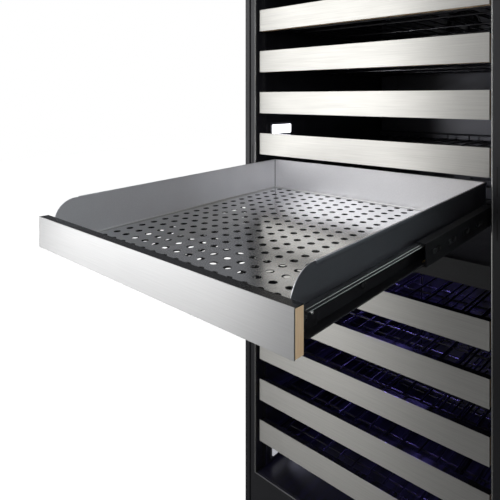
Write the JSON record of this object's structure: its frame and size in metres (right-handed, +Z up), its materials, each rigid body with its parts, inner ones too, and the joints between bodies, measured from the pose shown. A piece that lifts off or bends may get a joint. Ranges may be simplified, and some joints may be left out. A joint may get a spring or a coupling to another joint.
{
  "type": "wine cooler",
  "caption": "Tall dual-zone wine cooler with an open glass door, steel-fronted pull-out wire shelves and a perforated steel serving tray drawn out on ball-bearing slides.",
  "frame": {"origin": "middle of the bounding box's footprint, on the floor, with the tray drawn out and the door open as at rest; the cabinet's own middle line is at X -0.1570 and the shelf fronts' plane at Y -0.0461", "axes": "+Z up, +Y from the front of the cabinet to its back, +X to the right as seen from the front"},
  "size_m": [0.9142, 1.2218, 1.4872],
  "materials": {
    "cabinet_paint": "black textured paint",
    "black_plastic": "satin black",
    "dark_panel": "satin dark grey",
    "divider_board": "satin dark grey skin over foam",
    "gloss_black": "gloss",
    "black_rubber": "matte",
    "black_steel": "black coated",
    "black_wire": "gloss black coating",
    "brushed_stainless": "horizontal grain",
    "shelf_stainless": "stainless face with horizontal grain on a wooden core",
    "door_stainless": "stainless skin with a vertical grain over a cored frame",
    "bright_steel": "fine satin",
    "beech_core": "bare edge",
    "tinted_glass": "clear, grey tint",
    "galvanised_steel": "galvanised",
    "aluminium_fins": "mill",
    "compressor_paint": "gloss black",
    "foam": "rigid foam",
    "lamp_lens": "lit frosted lens",
    "led_lens": "lit blue strip"
  },
  "bodies": {
    "cabinet": {"outer_shell": "cabinet_paint", "inner_liner": "black_plastic", "foam_insulation": "foam", "back_panel": "galvanised_steel", "rear_grille": "galvanised_steel", "base_pan": "galvanised_steel", "foot_front_left": "black_rubber", "foot_front_right": "black_rubber", "foot_rear_left": "black_rubber", "foot_rear_right": "black_rubber", "front_frame": "black_plastic", "kick_grille": "black_plastic", "zone_divider": "divider_board", "control_panel": "gloss_black", "runner_panel_left": "black_plastic", "runner_panel_right": "black_plastic", "air_duct_upper": "dark_panel", "air_duct_lower": "dark_panel", "evaporator": "aluminium_fins", "compressor": "compressor_paint", "condenser": "aluminium_fins", "lamp_upper": "lamp_lens", "lamp_lower": "lamp_lens", "led_strip": "led_lens", "slide_left_cabinet": "black_steel", "slide_right_cabinet": "black_steel", "hinge_top": "black_steel", "hinge_bottom": "black_steel"},
    "fan_upper": {"fan_upper": "black_plastic"},
    "fan_lower": {"fan_lower": "black_plastic"},
    "condenser_fan": {"condenser_fan": "black_plastic"},
    "door": {"door_frame": "door_stainless", "door_glass": "tinted_glass", "door_gasket": "black_rubber", "door_handle": "bright_steel"},
    "tray": {"tray_pan": "brushed_stainless", "tray_front_face": "brushed_stainless", "tray_front_core": "beech_core", "slide_left_drawer": "black_steel", "slide_right_drawer": "black_steel"},
    "slide_middles": {"slide_left_middle": "black_steel", "slide_right_middle": "black_steel"},
    "shelf_1": {"shelf_1_front": "shelf_stainless", "shelf_1_rack": "black_wire"},
    "shelf_2": {"shelf_2_front": "shelf_stainless", "shelf_2_rack": "black_wire"},
    "shelf_3": {"shelf_3_front": "shelf_stainless", "shelf_3_rack": "black_wire"},
    "shelf_4": {"shelf_4_front": "shelf_stainless", "shelf_4_rack": "black_wire"},
    "shelf_5": {"shelf_5_front": "shelf_stainless", "shelf_5_rack": "black_wire"},
    "shelf_6": {"shelf_6_front": "shelf_stainless", "shelf_6_rack": "black_wire"},
    "shelf_7": {"shelf_7_front": "shelf_stainless", "shelf_7_rack": "black_wire"},
    "shelf_8": {"shelf_8_front": "shelf_stainless", "shelf_8_rack": "black_wire"},
    "shelf_9": {"shelf_9_front": "shelf_stainless", "shelf_9_rack": "black_wire"}
  },
  "joints": [
    {"name": "door_hinge", "type": "hinge", "parent": "cabinet", "child": "door", "pos_m": [0.13895, -0.06556, 0.7], "axis": [0, 0, 1], "range_deg": [-25, 4]},
    {"name": "tray_slide", "type": "slide", "parent": "cabinet", "child": "tray", "axis": [0, 0.9995, 0.032], "range_m": [0, 0.533]},
    {"name": "slide_middles_slide", "type": "slide", "parent": "cabinet", "child": "slide_middles", "axis": [0, 0.9995, 0.032], "range_m": [0, 0.2665]},
    {"name": "fan_upper_spin", "type": "hinge", "parent": "cabinet", "child": "fan_upper", "pos_m": [-0.15705, 0.54994, 1.3619], "axis": [0, 1, 0], "continuous": true},
    {"name": "fan_lower_spin", "type": "hinge", "parent": "cabinet", "child": "fan_lower", "pos_m": [-0.15705, 0.54994, 0.7432], "axis": [0, 1, 0], "continuous": true},
    {"name": "condenser_fan_spin", "type": "hinge", "parent": "cabinet", "child": "condenser_fan", "pos_m": [-0.29205, 0.48894, 0.1068], "axis": [0, 1, 0], "continuous": true},
    {"name": "shelf_1_slide", "type": "slide", "parent": "cabinet", "child": "shelf_1", "axis": [0, -1, 0], "range_m": [0, 0.28]},
    {"name": "shelf_2_slide", "type": "slide", "parent": "cabinet", "child": "shelf_2", "axis": [0, -1, 0], "range_m": [0, 0.28]},
    {"name": "shelf_3_slide", "type": "slide", "parent": "cabinet", "child": "shelf_3", "axis": [0, -1, 0], "range_m": [0, 0.28]},
    {"name": "shelf_4_slide", "type": "slide", "parent": "cabinet", "child": "shelf_4", "axis": [0, -1, 0], "range_m": [0, 0.28]},
    {"name": "shelf_5_slide", "type": "slide", "parent": "cabinet", "child": "shelf_5", "axis": [0, -1, 0], "range_m": [0, 0.28]},
    {"name": "shelf_6_slide", "type": "slide", "parent": "cabinet", "child": "shelf_6", "axis": [0, -1, 0], "range_m": [0, 0.28]},
    {"name": "shelf_7_slide", "type": "slide", "parent": "cabinet", "child": "shelf_7", "axis": [0, -1, 0], "range_m": [0, 0.28]},
    {"name": "shelf_8_slide", "type": "slide", "parent": "cabinet", "child": "shelf_8", "axis": [0, -1, 0], "range_m": [0, 0.28]},
    {"name": "shelf_9_slide", "type": "slide", "parent": "cabinet", "child": "shelf_9", "axis": [0, -1, 0], "range_m": [0, 0.28]}
  ],
  "couplings": [
    {"joint": "slide_middles_slide", "follows": "tray_slide", "ratio": 0.5}
  ]
}
